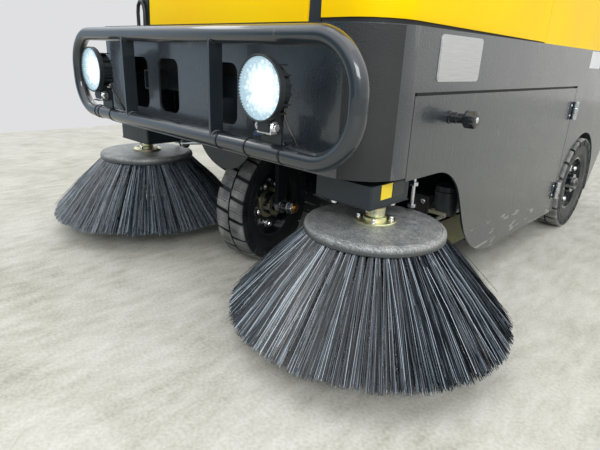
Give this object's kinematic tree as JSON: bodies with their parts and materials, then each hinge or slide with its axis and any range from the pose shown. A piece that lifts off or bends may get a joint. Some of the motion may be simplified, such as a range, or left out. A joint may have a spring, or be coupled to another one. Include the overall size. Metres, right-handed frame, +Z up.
{
  "type": "ride-on street sweeper",
  "caption": "Compact three-wheeled ride-on street sweeper with steered front wheel, side brushes, roller brush, canopy cab and rear hopper.",
  "frame": {"origin": "floor level, midway between the side-brush tips in front and the rear buffer, on the centre plane", "axes": "+Z up, -Y towards the nose, +X towards the driver's left hand; wheels stand on Z = 0"},
  "size_m": [1.5479, 1.95, 1.97],
  "materials": {
    "charcoal_paint": "satin powder coat",
    "frame_paint": "satin black",
    "yellow_panel": "gloss",
    "tyre_rubber": "matt",
    "black_rubber": "matt",
    "rim_paint": "satin",
    "zinc_steel": "zinc plated",
    "black_bristle": "matt bristle",
    "grey_plastic": "matt",
    "olive_skirt": "satin",
    "black_plastic": "matt",
    "lamp_lens": "clear",
    "red_lens": "gloss",
    "clear_glass": "clear",
    "seat_vinyl": "satin",
    "battery_case": "matt"
  },
  "bodies": {
    "chassis": {"chassis_tub": "charcoal_paint", "deck": "charcoal_paint", "frame_rails": "frame_paint", "quarter_panel_left": "charcoal_paint", "quarter_panel_right": "charcoal_paint", "front_bumper": "frame_paint", "headlamp_housings": "black_plastic", "headlamp_lenses": "lamp_lens", "lamp_leads": "black_rubber", "rear_axle": "frame_paint", "drive_motor": "frame_paint", "brush_tunnel": "frame_paint", "tunnel_skirts": "olive_skirt", "hopper": "zinc_steel", "rear_bumper": "black_rubber", "rear_lamps": "red_lens", "front_cowl": "yellow_panel", "left_wing": "yellow_panel", "body_seal": "black_rubber", "rear_hood": "yellow_panel", "cab_frame": "frame_paint", "roof_panel": "yellow_panel", "windscreen": "clear_glass", "console": "black_plastic", "seat_cushion": "seat_vinyl", "seat_back": "seat_vinyl", "battery_block": "battery_case"},
    "steering_fork": {"steering_fork": "frame_paint"},
    "front_wheel": {"front_tyre": "tyre_rubber", "front_rim": "rim_paint"},
    "rear_wheel_left": {"rear_left_tyre": "tyre_rubber", "rear_left_rim": "rim_paint"},
    "rear_wheel_right": {"rear_right_tyre": "tyre_rubber", "rear_right_rim": "rim_paint"},
    "main_brush": {"main_brush": "black_bristle"},
    "left_arm": {"left_brush_arm": "charcoal_paint"},
    "right_arm": {"right_brush_arm": "charcoal_paint"},
    "left_brush": {"left_brush_disc": "grey_plastic", "left_brush_bristles": "black_bristle"},
    "right_brush": {"right_brush_disc": "grey_plastic", "right_brush_bristles": "black_bristle"},
    "left_door": {"service_door_left": "charcoal_paint"},
    "right_door": {"service_door_right": "charcoal_paint"},
    "hopper_door": {"hopper_door": "charcoal_paint"},
    "rear_lid": {"rear_lid": "yellow_panel"},
    "steering_wheel": {"steering_wheel": "black_plastic"}
  },
  "joints": [
    {"name": "steering", "type": "hinge", "parent": "chassis", "child": "steering_fork", "pos_m": [0, -0.557, 0.364], "axis": [0, 0, 1], "range_deg": [-73, 47]},
    {"name": "front_wheel_spin", "type": "hinge", "parent": "steering_fork", "child": "front_wheel", "pos_m": [0, -0.557, 0.168], "axis": [0.9744, 0.225, 0], "continuous": true},
    {"name": "rear_wheel_left_spin", "type": "hinge", "parent": "chassis", "child": "rear_wheel_left", "pos_m": [0.498, 0.516, 0.168], "axis": [1, 0, 0], "continuous": true},
    {"name": "rear_wheel_right_spin", "type": "hinge", "parent": "chassis", "child": "rear_wheel_right", "pos_m": [-0.498, 0.516, 0.168], "axis": [1, 0, 0], "continuous": true},
    {"name": "main_brush_spin", "type": "hinge", "parent": "chassis", "child": "main_brush", "pos_m": [0, 0.051, 0.165], "axis": [1, 0, 0], "continuous": true},
    {"name": "left_arm_lower", "type": "hinge", "parent": "chassis", "child": "left_arm", "pos_m": [0.45, -0.527, 0.354], "axis": [1, 0, 0], "range_deg": [0, 7]},
    {"name": "right_arm_lower", "type": "hinge", "parent": "chassis", "child": "right_arm", "pos_m": [-0.45, -0.527, 0.354], "axis": [1, 0, 0], "range_deg": [0, 7]},
    {"name": "left_brush_spin", "type": "hinge", "parent": "left_arm", "child": "left_brush", "pos_m": [0.469, -0.67, 0.28], "axis": [0, 0, 1], "continuous": true},
    {"name": "right_brush_spin", "type": "hinge", "parent": "right_arm", "child": "right_brush", "pos_m": [-0.469, -0.67, 0.28], "axis": [0, 0, 1], "continuous": true},
    {"name": "left_door_swing", "type": "hinge", "parent": "chassis", "child": "left_door", "pos_m": [0.541, 0.314, 0.31], "axis": [0, 0, 1], "range_deg": [0, 95]},
    {"name": "right_door_swing", "type": "hinge", "parent": "chassis", "child": "right_door", "pos_m": [-0.541, 0.314, 0.31], "axis": [0, 0, -1], "range_deg": [0, 95]},
    {"name": "hopper_door_swing", "type": "hinge", "parent": "chassis", "child": "hopper_door", "pos_m": [0, 0.9615, 0.484], "axis": [1, 0, 0], "range_deg": [0, 80]},
    {"name": "rear_lid_swing", "type": "hinge", "parent": "chassis", "child": "rear_lid", "pos_m": [0, 0.88, 0.9565], "axis": [-1, 0, 0], "range_deg": [0, 70]},
    {"name": "steering_wheel_turn", "type": "hinge", "parent": "chassis", "child": "steering_wheel", "pos_m": [0, -0.45911, 1.06408], "axis": [0, 0.5736, 0.8192], "range_deg": [-219, 141]}
  ],
  "couplings": [
    {"joint": "steering_wheel_turn", "follows": "steering", "ratio": 3}
  ]
}
